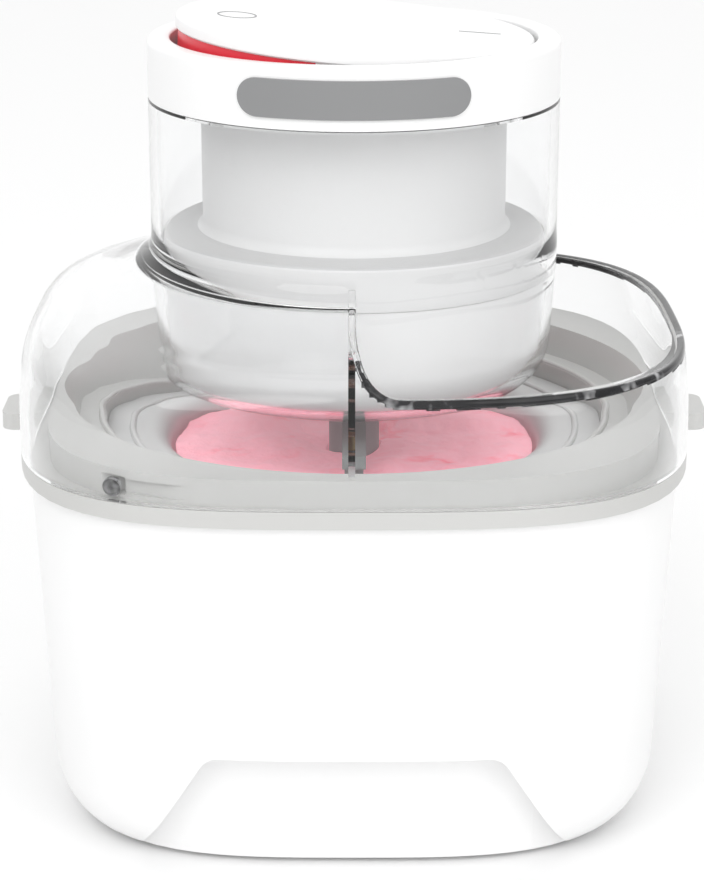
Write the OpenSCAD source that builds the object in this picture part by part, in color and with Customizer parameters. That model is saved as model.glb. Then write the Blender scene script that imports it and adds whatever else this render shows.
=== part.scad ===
// Small ice cream maker: base tub, freezer bowl, clear lid, paddle and motor unit.
// Millimetres, +Z up, the front faces -Y, z = 0 under the rubber feet.

/* [Base tub] */
// Half-width of the tub just under its rim
tub_half = 80.8; // [64:0.1:98]
// How much narrower the tub is where the bottom rounding starts
tub_draft = 3.4; // [1:0.1:8]
// How far the bottom rounding draws in
tub_tuck = 8.9; // [4:0.1:16]
// Height of the tub's rim
tub_top = 90.7; // [74:0.1:110]
// Height where the bottom rounding ends
tub_round = 15; // [8:0.5:30]
// Wall thickness of the tub
tub_wall = 2.4; // [1.6:0.1:4]
// Squareness of the tub's plan, 2 is a circle
tub_square = 3.4; // [2.4:0.05:5]
// Height of the front recess
recess_top = 31; // [20:0.5:45]
// Half-width of the front recess at its top
recess_half = 35; // [25:0.5:45]
// Half-width of the front recess at the bottom
recess_foot = 54; // [40:0.5:60]
// How far in front of the foot line the back of the recess stands
recess_out = 1.5; // [0.5:0.1:4]
// Height of the rubber feet under the tub
foot_rise = 1; // [0.5:0.1:3]

/* [Freezer bowl] */
// How far the flange stands out past the tub
flange_over = 2.1; // [1:0.1:5]
// Thickness of the flange and its lift tabs
flange_thick = 4.2; // [2:0.1:6]
// How far a lift tab stands out past the flange
tab_out = 7.1; // [5:0.1:14]
// Width of a lift tab
tab_wide = 18; // [10:0.5:26]
// Height of the collar above the flange
collar_rise = 6.8; // [5:0.1:12]
// Thinnest wall of the collar, at its sides
collar_wall = 1.65; // [1.2:0.05:3]
// How far the collar's mouth draws in down to the first ledge
mouth_taper = 3.35; // [1:0.05:6]
// Width of the first ledge inside the collar
ledge_wide = 7; // [5:0.1:10]
// Depth of the first ledge under the collar's top
ledge_drop = 7.2; // [5:0.1:10]
// Depth of the bowl's rim under the first ledge
rim_drop = 4.5; // [3:0.1:7]
// Thickness of the seal between collar and shell
seal_thick = 2.2; // [1.5:0.1:3]
// Width of the bowl's rim
rim_wide = 9.3; // [7:0.1:12]
// Rounding radius of the bowl's inner edge
rim_round = 5.5; // [3:0.1:8]
// How far the bowl's inner wall draws in down to the floor
bowl_taper = 2.5; // [1:0.1:6]
// Height of the bowl's inner floor above its underside
bowl_base = 11.5; // [8:0.1:20]
// Gap between the bowl's underside and the tub's floor
bowl_off_floor = 5.1; // [2:0.1:12]
// Radius of the pin the paddle turns on
pivot_r = 3; // [2:0.1:5]
// Height of the pin above the bowl's floor
pivot_high = 14; // [8:0.5:20]

/* [Paddle] */
// Gap between the arm tips and the bowl's inner wall
arm_gap = 4.5; // [2:0.1:8]
// Width of an arm
arm_wide = 5.8; // [4:0.1:9]
// Height of the arms above the bowl's rim
arm_over = 5.1; // [3:0.1:8]
// Thickness of an arm
arm_thick = 3.4; // [2:0.1:6]
// Radius of the paddle's hub
hub_r = 6.5; // [5.8:0.1:8.5]
// Width across the flats of the drive end
drive_flat = 7; // [5:0.1:8.4]

/* [Lid] */
// Wall thickness of the lid
lid_wall = 2.3; // [1.6:0.1:3]
// Outer radius of the lid's tower
tower_r = 51; // [48:0.1:62]
// Height of the lid from its skirt to the top of its tower
lid_high = 80.3; // [74:0.1:98]
// Height of the dome from the skirt's foot to where it meets the tower
dome_high = 44.5; // [40:0.1:58]
// How much narrower the cup is near its bottom than the tower
cup_taper = 1.1; // [0.4:0.1:2]
// Gap between the cup's underside and the collar's top
cup_over = 0.4; // [0.3:0.1:5]
// Rounding radius of the cup's bottom edge
cup_round = 13; // [8:0.5:16]
// Radius of the shaft opening in the cup
cup_hole = 9; // [7.5:0.1:14]
// Height of the opening's lower edge above the skirt's foot
spout_high = 23.2; // [18:0.1:28]
// Fall of the opening's edge from front to back, in degrees
spout_fall = 1.4; // [0:0.1:3]
// Corner radius where the opening's edge turns up to the tower
spout_round = 11; // [4:0.5:16]
// How far the rolled edge of the opening stands out
lip_out = 0.5; // [0.3:0.1:2]
// Height of the rolled edge of the opening
lip_high = 1.9; // [1:0.1:5]

/* [Motor unit] */
// Height of the cap ring
ring_high = 14.5; // [12:0.1:18]
// Width of the cap ring's top face
ring_wide = 5.65; // [4:0.05:9]
// Width of the housing's shoulder
shoulder_wide = 9.8; // [7:0.1:14]
// Gap between the shoulder and the tower's inner wall
shoulder_gap = 0.9; // [0.4:0.1:2]
// Height of the lower housing
lower_high = 28; // [26:0.1:34]
// Height of the shoulder above the seam
shoulder_high = 10.2; // [7:0.1:14]
// Rounding radius of the lower housing's bottom edge
house_round = 11; // [6:0.5:14]
// Wall thickness of the housings
house_wall = 2; // [1.4:0.1:3]

/* [Rocker] */
// Gap between the rocker and the ring around it
rocker_gap = 1.1; // [0.8:0.05:2]
// Thickness of the rocker's disc
rocker_thick = 3.2; // [2:0.1:3.6]
// Tilt of the rocker when it is pressed down on the right, in degrees
rocker_tilt = 4.2; // [2:0.1:5]
// Height of the middle of the rocker's top above the ring
rocker_proud = 2.5; // [1.5:0.1:4]

/* [Gear train] */
// Gear module of the two fast stages
fast_module = 0.8; // [0.6:0.01:0.9]
// How much coarser the teeth of the output stage are
slow_coarse = 1.25; // [1:0.05:1.3]
// Teeth of every pinion
pinion_teeth = 12; // [11:1:14]
// Teeth of the first wheel
first_teeth = 48; // [40:1:50]
// Teeth of the second wheel
second_teeth = 42; // [36:1:44]
// Teeth of the output wheel
output_teeth = 39; // [33:1:41]
// Radius of the motor
motor_r = 17.5; // [14:0.5:21]

/* [Fits] */
// Radial running clearance of shafts and pins
run_gap = 0.05; // [0.02:0.01:0.1]
// Clearance between pieces that lift off each other
lift_gap = 0.3; // [0.2:0.05:0.6]
// Clearance between fixed pieces
fixed_gap = 0.05; // [0.02:0.01:0.2]

/* [Hidden] */
SEG = 96;
ROUND = 96;
SMALL = 32;
EPS = 0.02;
BIG = 400;

// base
tub_low_half = tub_half - tub_draft;
tub_foot_half = tub_low_half - tub_tuck;
recess_back = tub_foot_half + recess_out;
foot_r = 7;
foot_at = tub_foot_half - 22.5;
foot_seat = 1.2;

// freezer bowl, from the outside in
flange_half = tub_half + flange_over;
flange_low = tub_top + lift_gap;
flange_top = flange_low + flange_thick;
flange_square = 3.37;
tab_reach = flange_half + tab_out;
lid_half = flange_half + 0.1;
lid_in = lid_half - lid_wall;
collar_square = 3.3;
collar_half = lid_in - 4.2;
collar_deep = lid_in - 0.7;
collar_top = flange_top + collar_rise;
mouth_r = collar_half - collar_wall;
ledge_r = mouth_r - mouth_taper;
ledge_z = collar_top - ledge_drop;
skirt_r = ledge_r - ledge_wide;
skirt_thick = 2.2;
shell_r = skirt_r - seal_thick;
rim_z = ledge_z - rim_drop;
bead_r = 0.9;
rim_out = skirt_r - 0.1;
rim_r = shell_r - rim_wide;
bowl_r = rim_r - rim_round;
bowl_low_r = bowl_r - bowl_taper;
shell_foot = foot_rise + tub_wall + bowl_off_floor;
bowl_floor = shell_foot + bowl_base;
liner_thick = 1.5;
skirt_low = rim_z - 6.3;
locate_drop = 3;
locate_half = tub_half - tub_wall - 0.6;
pivot_top = bowl_floor + pivot_high;
shell_neck = rim_z - 10.3;

// lid
lid_low = flange_top + lift_gap;
tower_in = tower_r - lid_wall;
tower_top = lid_low + lid_high;
cup_foot = collar_top + cup_over;
cup_r = tower_r - cup_taper;
cup_knee = lid_low + 37.5;
spout_low = lid_low + spout_high;
guide_thick = 1.6;
guide_x = 0.3;
guide_low = collar_top + 1.2;
peg_r = 2.1;
ramp_long = 17;
peg_side = 55.2;
peg_z = lid_low + 2.7;
dome_rows = [[1, 0, 3.37], [1, 0.191, 3.37], [0.9875, 0.3258, 3.33], [0.9781, 0.4157, 3.25],
             [0.9719, 0.4831, 3.13], [0.95, 0.5416, 3], [0.9031, 0.6, 2.87], [0.825, 0.6517, 2.74],
             [0.7062, 0.6944, 2.62], [0.5688, 0.7303, 2.5], [0.425, 0.7753, 2.38],
             [0.3062, 0.8202, 2.26], [0.2125, 0.8607, 2.14], [0.125, 0.9011, 2.05],
             [0.0625, 0.9371, 2], [0.025, 0.9685, 2], [0.0031, 1, 2]];
dome = [for (r = dome_rows) [tower_r + (lid_half - tower_r) * r[0], lid_low + dome_high * r[1], r[2]]];

// paddle
arm_reach = bowl_r - arm_gap;
arm_top = rim_z + arm_over;
hub_low = bowl_floor + 1;
hub_top = cup_foot - 2.4;
drive_low = hub_top - 10;
socket_floor = drive_low - 1;
leg_out = bowl_low_r - arm_gap;
leg_in = hub_r + 18;
leg_thick = 4.6;
leg_low = bowl_floor + 2;
bar_z = (leg_low + arm_top) / 2 - 6.5;

// motor unit, from the lid's tower
ring_r = tower_r - 0.05;
ring_low = tower_top + lift_gap;
ring_top = ring_low + ring_high;
well_r = ring_r - ring_wide;
shoulder_r = tower_in - shoulder_gap;
neck_r = shoulder_r - shoulder_wide;
neck_in = neck_r - house_wall;
house_r = cup_r - lid_wall - lift_gap;
house_foot = cup_foot + lid_wall + lift_gap;
seam = house_foot + lower_high;
shoulder_top = seam + shoulder_high;
seam_groove = 0.4;
ring_plate = 1.6;
ring_skin = 2;
ring_round = 1.5;
well_wall = 1.6;
neck_top = ring_low + ring_plate;
cradle_floor = ring_top - 4.6;
cradle_skin = 1.5;
cradle_r = well_r - 5;
trench_z = ring_low + 3.3;
gland_r = 2.4;
gland_out = 3.9;
gland_z = neck_top + gland_out + 0.1;
badge_half = 27;
badge_high = 9;
badge_low = ring_low + 2.7;
badge_rise = 0.7;

// rocker
rocker_r = well_r - rocker_gap;
rocker_top = ring_top + rocker_proud;
rocker_pivot = ring_top - 3;
post_half = 3.5;
post_top = rocker_top - rocker_thick - post_half * tan(rocker_tilt) - lift_gap;
lug_y = cradle_r - 10.3;
lug_thick = 3;
lug_r = 2.6;
trunnion_r = 1.1;
post_y = lug_y + lug_thick + lift_gap;
post_thick = 4;
mark_r = rocker_r - 0.8;
mark_in = mark_r - 1.6;
mark_drop = 4.4;
mark_end = 9;
symbol_at = rocker_r - 15;
line_near = rocker_r - 18.8;
line_far = rocker_r - 8.4;
plunger_x = 22;
plunger_r = 2;
switch_low = cradle_floor - 16;

// gear train
addendum = 0.8;
dedendum = 1.05;
slow_module = fast_module * slow_coarse;
pressure = 25;
backlash = 0.12;
slow_dist = slow_module * (output_teeth + pinion_teeth) / 2;
second_dist = fast_module * (second_teeth + pinion_teeth) / 2;
first_dist = fast_module * (first_teeth + pinion_teeth) / 2;
turn_b = acos((first_dist * first_dist - slow_dist * slow_dist - second_dist * second_dist)
    / (2 * slow_dist * second_dist));
axle_b = [slow_dist, 0];
axle_a = [slow_dist + second_dist * cos(turn_b), second_dist * sin(turn_b)];
turn_m = atan2(-axle_a[1], -axle_a[0]);
axle_r = 1.5;
layer_1 = house_foot + 5;
layer_2 = layer_1 + 7;
layer_3 = layer_2 + 5;
wheel_1 = 6;
wheel_2 = 4;
wheel_3 = 4;
plate_z = layer_3 + 5.4;
plate_thick = 2;
shaft_r = drive_flat / 2 + 0.5;
bush_r = shaft_r + 2;
motor_low = plate_z + plate_thick;
motor_high = 32;
rotor_r = motor_r - 6;
magnet_in = motor_r - 4.9;
board_z = motor_low + motor_high + 3.6;
board_thick = 1.6;
post_angles = [150, 240, 300];
post_r = 3.4;
post_at = house_r - house_wall - 5.3;
boss_angles = [90, 210, 330];
boss_r = 2.9;
boss_at = house_r - house_wall - boss_r - 0.1;
screw_r = 1.4;
screw_head = 2.3;
motor_screw_at = motor_r - 6.5;
motor_screw_r = 1;
motor_screw_head = 1.9;

// ---- shared shapes ----

// One point of a squircle outline with half-sizes a and b.
function squircle_point(a, b, n, t) =
    let (c = cos(t), s = sin(t), k = pow(pow(abs(c), n) + pow(abs(s), n), -1 / n)) [a * k * c, b * k * s];

// Depth of a squircle outline at a distance x from its middle.
function squircle_depth(a, b, n, x) = b * pow(1 - pow(x / a, n), 1 / n);

function squircle(a, b, n) = [for (i = [0 : SEG - 1]) squircle_point(a, b, n, i * 360 / SEG)];

// Closed solid through level squircles, each row being [half-width, height, squareness].
module loft(rows, slim = 1) {
    count = len(rows);
    points = [for (row = rows) for (p = squircle(row[0], row[0] * slim, row[2])) [p[0], p[1], row[1]]];
    sides = [for (j = [0 : count - 2]) for (i = [0 : SEG - 1])
        [j * SEG + i, (j + 1) * SEG + i, (j + 1) * SEG + (i + 1) % SEG, j * SEG + (i + 1) % SEG]];
    floor_face = [for (i = [0 : SEG - 1]) i];
    top_face = [for (i = [SEG - 1 : -1 : 0]) (count - 1) * SEG + i];
    polyhedron(points, concat(sides, [floor_face, top_face]), convexity = 6);
}

// Moves a profile sideways by d along its own normal.
function grown(rows, d) = [for (i = [0 : len(rows) - 1])
    let (a = rows[max(i - 1, 0)], b = rows[min(i + 1, len(rows) - 1)],
         dx = b[0] - a[0], dz = b[1] - a[1], w = sqrt(dx * dx + dz * dz))
    [rows[i][0] + d * dz / w, rows[i][1] - d * dx / w, rows[i][2]]];

module ring(r_out, r_in, low, high) {
    translate([0, 0, low])
        difference() {
            cylinder(r = r_out, h = high - low, $fn = ROUND);
            translate([0, 0, -EPS])
                cylinder(r = r_in, h = high - low + 2 * EPS, $fn = ROUND);
        }
}

module rod(r, low, high) {
    translate([0, 0, low])
        cylinder(r = r, h = high - low, $fn = SMALL);
}

module drum(r, low, high) {
    translate([0, 0, low])
        cylinder(r = r, h = high - low, $fn = ROUND);
}

module box(low, high) {
    translate(low)
        cube(high - low);
}

function arc(cx, cy, r, from, to, steps = 8) =
    [for (i = [0 : steps]) let (t = from + (to - from) * i / steps) [cx + r * cos(t), cy + r * sin(t)]];

// Half-angle of a tooth at radius r.
function tooth_half(m, teeth, r) =
    let (pitch = m * teeth / 2, base = pitch * cos(pressure), a = acos(min(1, base / max(r, base))),
         inv_p = tan(pressure) - pressure * PI / 180, inv_r = tan(a) - a * PI / 180)
    90 / teeth - backlash / 2 / pitch * 180 / PI + (inv_p - inv_r) * 180 / PI;

module gear(m, teeth, low, high, phase) {
    pitch = m * teeth / 2;
    tip = pitch + addendum * m;
    root = pitch - dedendum * m;
    base = pitch * cos(pressure);
    start = max(base, root);
    rows = [root, start, start + (tip - start) * 0.35, start + (tip - start) * 0.7, tip];
    outline = [for (k = [0 : teeth - 1]) let (mid = phase + k * 360 / teeth)
        each concat(
            [for (r = rows) let (t = mid - tooth_half(m, teeth, r)) [r * cos(t), r * sin(t)]],
            [for (i = [len(rows) - 1 : -1 : 0]) let (r = rows[i], t = mid + tooth_half(m, teeth, r))
                [r * cos(t), r * sin(t)]])];
    translate([0, 0, low])
        linear_extrude(high - low)
            polygon(outline);
}

module hexagon(flat, low, high) {
    r = flat / 2 / cos(30);
    translate([0, 0, low])
        linear_extrude(high - low)
            polygon([for (i = [0 : 5]) [r * cos(60 * i), r * sin(60 * i)]]);
}

module revolve(points) {
    rotate_extrude($fn = ROUND)
        polygon(points);
}

module tilted() {
    translate([0, 0, rocker_pivot])
        rotate([0, rocker_tilt, 0])
            translate([0, 0, -rocker_pivot])
                children();
}

// ---- base ----

function tub_rows(inset, low) = concat(
    [for (i = [6 : -1 : 1]) let (t = i * 15)
        [tub_foot_half - inset + (tub_low_half - tub_foot_half) * pow(cos(t), 1.18),
         low + (tub_round - foot_rise) * (1 - pow(sin(t), 1.18)), tub_square]],
    [[tub_low_half - inset, low + tub_round - foot_rise, tub_square]]);

module recess_prism(grow) {
    rotate([90, 0, 0])
        linear_extrude(BIG)
            offset(r = 5 + grow)
                offset(delta = -5)
                    polygon([[-recess_half, recess_top], [recess_half, recess_top],
                             [recess_foot + 6, -10], [-recess_foot - 6, -10]]);
}

module squircle_prism(half, slim, n, low, high) {
    translate([0, 0, low])
        linear_extrude(high - low)
            polygon(squircle(half, half * slim, n));
}

module tub_outer() {
    loft(concat(tub_rows(0, foot_rise), [[tub_half, tub_top, tub_square]]));
}

module base_tub() {
    color([0.95, 0.95, 0.95])
        difference() {
            union() {
                difference() {
                    tub_outer();
                    loft(concat(tub_rows(tub_wall, foot_rise + tub_wall),
                        [[tub_half - tub_wall + 0.1, tub_top + 2, tub_square]]));
                }
                intersection() {
                    tub_outer();
                    difference() {
                        recess_prism(tub_wall);
                        squircle_prism(recess_back - tub_wall, 1, tub_square, -1, tub_top);
                    }
                }
            }
            difference() {
                recess_prism(0);
                squircle_prism(recess_back, 1, tub_square, -1, tub_top);
            }
            for (x = [-1, 1], y = [-1, 1])
                translate([x * foot_at, y * foot_at, 0])
                    drum(foot_r + fixed_gap, -1, foot_rise + foot_seat);
        }
}

module rubber_feet() {
    color([0.5, 0.5, 0.5])
        for (x = [-1, 1], y = [-1, 1])
            translate([x * foot_at, y * foot_at, 0])
                drum(foot_r, 0, foot_rise + foot_seat);
}

// ---- freezer bowl ----

module lift_tab(side) {
    corner = 3.5;
    half = tab_wide / 2;
    scale([side, 1, 1]) {
        box([flange_half - 4, -half, flange_low], [tab_reach - corner, half, flange_top]);
        box([flange_half - 4, corner - half, flange_low], [tab_reach, half - corner, flange_top]);
        for (y = [-1, 1])
            translate([tab_reach - corner, y * (half - corner), 0])
                rod(corner, flange_low, flange_top);
    }
}

module bowl_collar() {
    latch_y = squircle_depth(collar_half, collar_deep, collar_square, peg_side);
    ramp_y = squircle_depth(collar_half, collar_deep, collar_square, peg_side - ramp_long);
    color([0.8, 0.8, 0.79])
        difference() {
            union() {
                squircle_prism(flange_half, 1, flange_square, flange_low, flange_top);
                squircle_prism(collar_half, collar_deep / collar_half, collar_square,
                    flange_top - EPS, collar_top);
                squircle_prism(locate_half, 1, tub_square, flange_low - locate_drop, flange_low + EPS);
                for (side = [-1, 1])
                    lift_tab(side);
                drum(skirt_r + skirt_thick, skirt_low, flange_low);
            }
            revolve(concat([[0, ledge_z]], arc(skirt_r + bead_r + 0.2, ledge_z, bead_r, 180, 0, 6),
                [[ledge_r, ledge_z], [mouth_r, collar_top + EPS], [0, collar_top + EPS]]));
            drum(skirt_r, skirt_low - 1, collar_top);
            difference() {
                drum(locate_half - 2.6, skirt_low - 1, flange_low);
                drum(skirt_r + skirt_thick, skirt_low - 2, flange_low + 1);
            }
            translate([-peg_side, -latch_y, 0])
                union() {
                    box([-peg_r - 0.8, -BIG, flange_top + 0.8], [peg_r + 0.8, 2, collar_top - 1.6]);
                    translate([0, 0, flange_top + 1.2])
                        linear_extrude(collar_rise - 3.2)
                            polygon([[0, -20], [ramp_long, -20], [ramp_long, latch_y - ramp_y], [0, 1]]);
                }
        }
}

module bowl_liner() {
    inner = concat([[0, bowl_floor], [bowl_low_r - 4, bowl_floor]],
        arc(bowl_low_r - 4, bowl_floor + 4, 4, -90, 0),
        arc(rim_r, rim_z - rim_round, rim_round, 180, 90),
        arc(rim_r + 4.5, rim_z, bead_r, 180, 0, 6),
        [[rim_out, rim_z]]);
    outer = concat([[rim_out, rim_z - liner_thick]],
        arc(rim_r, rim_z - rim_round, rim_round - liner_thick, 90, 180),
        [[bowl_low_r + liner_thick, bowl_floor + 4]],
        arc(bowl_low_r - 4, bowl_floor + 4, 4 + liner_thick, 0, -90),
        [[0, bowl_floor - liner_thick]]);
    color([0.72, 0.73, 0.73]) {
        revolve(concat(inner, outer));
        rod(pivot_r, bowl_floor - EPS, pivot_top);
    }
}

module bowl_shell() {
    color([0.85, 0.85, 0.85])
        revolve([[0, shell_foot], [shell_r - 6, shell_foot], [shell_r - 1, shell_foot + 5],
                 [shell_r, shell_neck], [shell_r, rim_z - liner_thick],
                 [shell_r - 1.8, rim_z - liner_thick], [shell_r - 1.8, shell_neck],
                 [shell_r - 2.8, shell_foot + 6], [shell_r - 7, shell_foot + 1.8], [0, shell_foot + 1.8]]);
}

module cooling_gel() {
    color([0.6, 0.75, 0.9])
        revolve(concat([[0, shell_foot + 2], [shell_r - 7.2, shell_foot + 2],
                [shell_r - 3.1, shell_foot + 6.2], [shell_r - 2.1, shell_neck],
                [bowl_r + liner_thick + 0.3, shell_neck]],
            arc(bowl_low_r - 4, bowl_floor + 4, 4 + liner_thick + 0.4, 0, -90),
            [[0, bowl_floor - liner_thick - 0.4]]));
}

module bowl_seal() {
    color([0.3, 0.3, 0.3])
        ring(skirt_r, shell_r, skirt_low, rim_z - liner_thick);
}

// ---- paddle ----

module paddle() {
    color([0.56, 0.58, 0.58])
        difference() {
            union() {
                rod(hub_r, hub_low, hub_top);
                intersection() {
                    box([-arm_wide / 2, -arm_reach, arm_top - arm_thick],
                        [arm_wide / 2, arm_reach, arm_top]);
                    drum(arm_reach, 0, BIG);
                }
                for (y = [-1, 1])
                    scale([1, y, 1]) {
                        intersection() {
                            box([-leg_thick / 2, leg_in, leg_low], [leg_thick / 2, leg_out, arm_top - 1]);
                            drum(leg_out, 0, BIG);
                        }
                        box([-leg_thick / 2, 0, leg_low], [leg_thick / 2, leg_out - 2, leg_low + 7]);
                        box([-leg_thick / 2, 0, bar_z], [leg_thick / 2, leg_in + 1, bar_z + 5]);
                    }
            }
            rod(pivot_r + run_gap, hub_low - 1, pivot_top + 0.5);
            hexagon(drive_flat + 2 * lift_gap, socket_floor, hub_top + 1);
        }
}

// ---- lid ----

module cup_solid(inset, low) {
    round_r = cup_round - inset;
    revolve(concat([[0, low]],
        arc(cup_r - inset - round_r, low + round_r, round_r, -90, 0),
        [[tower_r - inset, cup_knee], [tower_r - inset, tower_top + (inset > 0 ? 1 : 0)],
         [0, tower_top + (inset > 0 ? 1 : 0)]]));
}

// Everything above the right-hand half of the lid, from its open edge up.
module spout_cut(grow) {
    left = guide_x - grow + spout_round;
    low = spout_low - grow + spout_round;
    translate([0, 0, spout_low])
        rotate([90 - spout_fall, 0, 0])
            translate([0, -spout_low, 0])
                linear_extrude(BIG, center = true)
                    offset(r = spout_round)
                        polygon([[left, low], [BIG, low], [BIG, BIG], [left, BIG]]);
}

module lid() {
    thin = grown(dome, -lid_wall);
    proud = grown(dome, lip_out);
    peg_near = squircle_depth(collar_half, collar_deep, collar_square, peg_side) + 0.6;
    peg_far = squircle_depth(lid_in, lid_in, flange_square, peg_side) + 0.7;
    inner_rows = concat([[lid_in, lid_low - 2, flange_square]], [for (i = [1 : 13]) thin[i]],
        [[tower_r - 1, thin[13][1] + 0.3, 2]]);
    color([0.9, 0.93, 0.95, 0.35])
        difference() {
            union() {
                difference() {
                    union() {
                        loft(dome);
                        intersection() {
                            loft(concat([[lid_half + 0.1, lid_low + 9.5, flange_square]],
                                [for (i = [2 : 15]) proud[i]]));
                            spout_cut(lip_high);
                        }
                    }
                    loft(inner_rows);
                    spout_cut(0);
                }
                cup_solid(0, cup_foot);
                intersection() {
                    loft(dome);
                    for (side = [-1, 1])
                        scale([1, side, 1])
                            box([guide_x - guide_thick, -BIG, guide_low], [guide_x, 1 - cup_r, BIG]);
                }
                translate([-peg_side, 0, peg_z])
                    rotate([90, 0, 0])
                        rod(peg_r, peg_near, peg_far);
            }
            cup_solid(lid_wall, cup_foot + lid_wall);
            drum(cup_hole, cup_foot - 1, cup_foot + lid_wall + 1);
        }
}

// ---- motor unit, fixed pieces ----

module cap_ring() {
    color([0.95, 0.95, 0.95])
        difference() {
            revolve(concat([[neck_r + fixed_gap, ring_low], [ring_r, ring_low]],
                arc(ring_r - ring_round, ring_top - ring_round, ring_round, 0, 90),
                arc(well_r + 0.6, ring_top - 0.6, 0.6, 90, 180),
                [[well_r, trench_z], [well_r + well_wall, trench_z],
                 [well_r + well_wall, ring_top - ring_skin],
                 [ring_r - ring_skin, ring_top - ring_skin], [ring_r - ring_skin, ring_low + ring_plate],
                 [neck_r + fixed_gap, ring_low + ring_plate]]));
            translate([0, 0, gland_z])
                rotate([-90, 0, 0])
                    rod(gland_out + fixed_gap, well_r - 5, ring_r + 5);
        }
}

module name_badge() {
    r = badge_high / 2;
    color([0.62, 0.63, 0.65])
        intersection() {
            ring(ring_r + badge_rise, ring_r + 0.01, badge_low - 1, badge_low + badge_high + 1);
            translate([0, -ring_r / 2, badge_low + r])
                rotate([90, 0, 0])
                    linear_extrude(ring_r) {
                        square([2 * (badge_half - r), badge_high], center = true);
                        for (x = [-1, 1])
                            translate([x * (badge_half - r), 0])
                                circle(r = r, $fn = SMALL);
                    }
        }
}

module upper_housing() {
    color([0.94, 0.94, 0.94])
        difference() {
            union() {
                revolve(concat([[shoulder_r, seam]],
                    arc(shoulder_r - 1, shoulder_top - 1, 1, 0, 90),
                    [[neck_r + 3, shoulder_top]],
                    arc(neck_r + 3, shoulder_top + 3, 3, -90, -180),
                    [[neck_r, neck_top], [neck_in, neck_top], [neck_in, board_z],
                     [neck_in - 1.6, board_z], [neck_in - 1.6, board_z - 1.6], [neck_in, board_z - 3.2],
                     [neck_in, shoulder_top - house_wall],
                     [shoulder_r - house_wall - 0.5, shoulder_top - house_wall],
                     [shoulder_r - house_wall - 0.5, seam]]));
                for (a = boss_angles)
                    rotate([0, 0, a])
                        translate([boss_at, 0, 0])
                            rod(boss_r, seam, shoulder_top - house_wall + EPS);
            }
            for (a = boss_angles)
                rotate([0, 0, a])
                    translate([boss_at, 0, 0])
                        rod(screw_r + fixed_gap, seam - 1, shoulder_top - 3);
        }
}

module lower_housing() {
    wall_in = house_r - house_wall;
    floor_z = house_foot + house_wall;
    inner_r = house_round - house_wall;
    color([0.94, 0.94, 0.94])
        difference() {
            union() {
                difference() {
                    revolve(concat([[0, house_foot]],
                        arc(house_r - house_round, house_foot + house_round, house_round, -90, 0),
                        [[house_r, seam - seam_groove], [house_r - seam_groove, seam - fixed_gap],
                         [0, seam - fixed_gap]]));
                    revolve(concat([[0, floor_z]],
                        arc(house_r - house_round, house_foot + house_round, inner_r, -90, 0),
                        [[wall_in, seam + 1], [0, seam + 1]]));
                }
                intersection() {
                    drum(house_r - 0.5, house_foot + 0.5, seam - fixed_gap);
                    union() {
                        for (a = boss_angles)
                            rotate([0, 0, a])
                                translate([boss_at, 0, 0])
                                    rod(boss_r, house_foot + 4, seam - fixed_gap);
                        for (a = post_angles)
                            rotate([0, 0, a])
                                translate([post_at, 0, 0])
                                    rod(post_r, house_foot + 3, plate_z);
                    }
                }
                drum(bush_r + 2.5, house_foot + 0.5, layer_1 - 0.8);
                for (p = [axle_a, axle_b])
                    translate([p[0], p[1], 0])
                        rod(axle_r + 2, house_foot + 0.5, layer_1 - 0.6);
            }
            drum(bush_r + fixed_gap, house_foot - 1, layer_1);
            for (p = [axle_a, axle_b])
                translate([p[0], p[1], 0])
                    rod(axle_r + fixed_gap, house_foot + 1.2, layer_1);
            for (a = boss_angles)
                rotate([0, 0, a])
                    translate([boss_at, 0, 0]) {
                        rod(screw_r + 0.2, house_foot, seam + 1);
                        rod(screw_head + 0.1, house_foot - 1, house_foot + 9);
                    }
            for (a = post_angles)
                rotate([0, 0, a])
                    translate([post_at, 0, 0])
                        rod(screw_r + fixed_gap, plate_z - 10, plate_z + 1);
        }
}

module gear_plate() {
    color([0.75, 0.76, 0.78])
        difference() {
            drum(house_r - house_wall - 0.3, plate_z, plate_z + plate_thick);
            drum(pinion_teeth * fast_module / 2 + 2, plate_z - 1, plate_z + plate_thick + 1);
            for (p = [axle_a, axle_b])
                translate([p[0], p[1], 0])
                    rod(axle_r + fixed_gap, plate_z - 1, plate_z + plate_thick + 1);
            for (x = [-1, 1])
                translate([x * motor_screw_at, 0, 0]) {
                    rod(motor_screw_head + fixed_gap, plate_z - 1, plate_z + 0.9);
                    rod(motor_screw_r + fixed_gap, plate_z, motor_low + 1);
                }
            for (a = post_angles)
                rotate([0, 0, a])
                    translate([post_at, 0, 0])
                        rod(screw_r + 0.1, plate_z - 1, plate_z + plate_thick + 1);
            for (a = boss_angles)
                rotate([0, 0, a])
                    translate([boss_at, 0, 0]) {
                        rod(boss_r + 0.3, plate_z - 1, plate_z + plate_thick + 1);
                        box([0, -boss_r - 0.3, plate_z - 1], [10, boss_r + 0.3, plate_z + plate_thick + 1]);
                    }
        }
}

module gear_axles() {
    color([0.8, 0.8, 0.82])
        for (p = [axle_a, axle_b])
            translate([p[0], p[1], 0])
                rod(axle_r, house_foot + 1.2, plate_z + plate_thick);
}

module shaft_bush() {
    color([0.75, 0.6, 0.35])
        ring(bush_r, shaft_r + run_gap, house_foot - 1.5, layer_1 - lift_gap);
}

module motor_can() {
    color([0.7, 0.71, 0.73])
        difference() {
            drum(motor_r, motor_low, motor_low + motor_high);
            drum(motor_r - 1, motor_low - 1, motor_low + motor_high - 2);
            rod(axle_r + run_gap, motor_low, motor_low + motor_high + 1);
        }
}

module motor_magnets() {
    color([0.3, 0.3, 0.32])
        difference() {
            ring(motor_r - 1 - fixed_gap, magnet_in, motor_low + 5, motor_low + 25);
            box([-BIG, -6, 0], [BIG, 6, BIG]);
        }
}

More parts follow.
